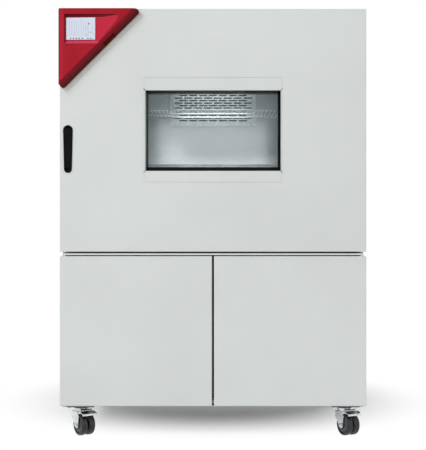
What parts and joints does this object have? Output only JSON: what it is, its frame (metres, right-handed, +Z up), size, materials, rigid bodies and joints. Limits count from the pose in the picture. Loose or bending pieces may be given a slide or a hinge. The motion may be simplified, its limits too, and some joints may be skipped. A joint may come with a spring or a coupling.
{
  "type": "climate chamber",
  "caption": "Free-standing climate chamber on castors: heated and cooled test space with a windowed door, corner touch console and a machine compartment with service doors.",
  "frame": {"origin": "middle of the footprint, on the floor", "axes": "+Z up, -Y to the front (the doors), +X to the right seen from the front"},
  "size_m": [1.135, 0.943, 1.585],
  "materials": {
    "paint": "satin",
    "stainless": "satin",
    "zinc": "satin",
    "foam": "matte",
    "black_plastic": "satin",
    "red_moulding": "satin",
    "screen": "gloss",
    "glass": "gloss",
    "seal": "matte",
    "copper": "satin",
    "black_enamel": "satin",
    "wheel": "matte",
    "rocker": "gloss",
    "brass": "satin"
  },
  "bodies": {
    "cabinet": {"base_frame": "paint", "side_panel_left": "paint", "side_panel_right": "paint", "roof_panel": "paint", "rear_panel": "paint", "rear_grille": "paint", "machine_deck": "paint", "front_collar": "paint", "chamber_liner": "stainless", "insulation": "foam", "baffle_plate": "stainless", "intake_grille": "stainless", "fixing_screws": "zinc", "heater_coil": "zinc", "evaporator": "zinc", "fan_motor": "zinc", "shelf_rails": "stainless", "port_sleeve": "stainless", "hinge_brackets": "zinc", "latch_keeper": "zinc", "compressor": "black_enamel", "condenser": "zinc", "condenser_shroud": "black_plastic", "refrigerant_lines": "copper", "steam_boiler": "stainless", "control_box": "zinc", "switch_bezel": "black_plastic", "rear_connections": "brass", "wall_spacers": "black_plastic", "caster_plates": "zinc"},
    "door": {"door_skin": "paint", "door_core": "foam", "door_liner": "stainless", "window_surround": "paint", "window_frame": "black_plastic", "window_panes": "glass", "door_gasket": "seal", "console_housing": "red_moulding", "touch_screen": "screen", "handle_cup": "black_plastic"},
    "lever": {"handle_lever": "black_plastic"},
    "latch": {"latch_slide": "zinc"},
    "service_left": {"service_door_left": "paint"},
    "service_right": {"service_door_right": "paint"},
    "plug": {"port_plug": "seal"},
    "rocker": {"switch_rocker": "rocker"},
    "shelf_top": {"shelf_upper": "stainless"},
    "shelf_bottom": {"shelf_lower": "stainless"},
    "fan": {"circulation_fan": "stainless"},
    "cooler_fan": {"condenser_fan": "black_plastic"},
    "fork_front_left": {"caster_fork_front_left": "zinc"},
    "wheels_front_left": {"wheels_front_left": "wheel"},
    "pedal_left": {"brake_pedal_left": "zinc"},
    "fork_front_right": {"caster_fork_front_right": "zinc"},
    "wheels_front_right": {"wheels_front_right": "wheel"},
    "pedal_right": {"brake_pedal_right": "zinc"},
    "fork_rear_left": {"caster_fork_rear_left": "zinc"},
    "wheels_rear_left": {"wheels_rear_left": "wheel"},
    "fork_rear_right": {"caster_fork_rear_right": "zinc"},
    "wheels_rear_right": {"wheels_rear_right": "wheel"}
  },
  "joints": [
    {"name": "door_swing", "type": "hinge", "parent": "cabinet", "child": "door", "pos_m": [0.543, -0.39, 1.135], "axis": [0, 0, 1], "range_deg": [0, 115]},
    {"name": "lever_pull", "type": "hinge", "parent": "door", "child": "lever", "pos_m": [-0.5367, -0.4365, 1.1398], "axis": [-1, 0, 0], "range_deg": [0, 30]},
    {"name": "latch_draw", "type": "slide", "parent": "door", "child": "latch", "axis": [-1, 0, 0], "range_m": [0, 0.008]},
    {"name": "service_left_swing", "type": "hinge", "parent": "cabinet", "child": "service_left", "pos_m": [-0.5515, -0.4275, 0.392], "axis": [0, 0, -1], "range_deg": [0, 110]},
    {"name": "service_right_swing", "type": "hinge", "parent": "cabinet", "child": "service_right", "pos_m": [0.5515, -0.4275, 0.392], "axis": [0, 0, 1], "range_deg": [0, 110]},
    {"name": "plug_pull", "type": "slide", "parent": "cabinet", "child": "plug", "axis": [-1, 0, 0], "range_m": [0, 0.05]},
    {"name": "rocker_press", "type": "hinge", "parent": "cabinet", "child": "rocker", "pos_m": [0.5515, -0.294, 0.59], "axis": [0, -1, 0], "range_deg": [0, 14]},
    {"name": "shelf_top_slide", "type": "slide", "parent": "cabinet", "child": "shelf_top", "axis": [0, -1, 0], "range_m": [0, 0.025]},
    {"name": "shelf_bottom_slide", "type": "slide", "parent": "cabinet", "child": "shelf_bottom", "axis": [0, -1, 0], "range_m": [0, 0.025]},
    {"name": "fan_spin", "type": "hinge", "parent": "cabinet", "child": "fan", "pos_m": [0, 0.06, 1.316], "axis": [0, 1, 0], "continuous": true},
    {"name": "cooler_fan_spin", "type": "hinge", "parent": "cabinet", "child": "cooler_fan", "pos_m": [-0.15, 0.3275, 0.37], "axis": [0, 1, 0], "continuous": true},
    {"name": "swivel_front_left", "type": "hinge", "parent": "cabinet", "child": "fork_front_left", "pos_m": [-0.495, -0.37, 0.098], "axis": [0, 0, 1], "continuous": true},
    {"name": "roll_front_left", "type": "hinge", "parent": "fork_front_left", "child": "wheels_front_left", "pos_m": [-0.48158, -0.3899, 0.04], "axis": [0.829, 0.5592, 0], "continuous": true},
    {"name": "brake_left", "type": "hinge", "parent": "fork_front_left", "child": "pedal_left", "pos_m": [-0.47431, -0.40067, 0.092], "axis": [0.829, 0.5592, 0], "range_deg": [0, 12]},
    {"name": "swivel_front_right", "type": "hinge", "parent": "cabinet", "child": "fork_front_right", "pos_m": [0.495, -0.37, 0.098], "axis": [0, 0, 1], "continuous": true},
    {"name": "roll_front_right", "type": "hinge", "parent": "fork_front_right", "child": "wheels_front_right", "pos_m": [0.5059, -0.39138, 0.04], "axis": [0.891, 0.454, 0], "continuous": true},
    {"name": "brake_right", "type": "hinge", "parent": "fork_front_right", "child": "pedal_right", "pos_m": [0.5118, -0.40297, 0.092], "axis": [0.891, 0.454, 0], "range_deg": [0, 12]},
    {"name": "swivel_rear_left", "type": "hinge", "parent": "cabinet", "child": "fork_rear_left", "pos_m": [-0.495, 0.37, 0.098], "axis": [0, 0, 1], "continuous": true},
    {"name": "roll_rear_left", "type": "hinge", "parent": "fork_rear_left", "child": "wheels_rear_left", "pos_m": [-0.48158, 0.3501, 0.04], "axis": [0.829, 0.5592, 0], "continuous": true},
    {"name": "swivel_rear_right", "type": "hinge", "parent": "cabinet", "child": "fork_rear_right", "pos_m": [0.495, 0.37, 0.098], "axis": [0, 0, 1], "continuous": true},
    {"name": "roll_rear_right", "type": "hinge", "parent": "fork_rear_right", "child": "wheels_rear_right", "pos_m": [0.5059, 0.34862, 0.04], "axis": [0.891, 0.454, 0], "continuous": true}
  ],
  "couplings": [
    {"joint": "latch_draw", "follows": "lever_pull", "m_per_rad": 0.01527}
  ]
}
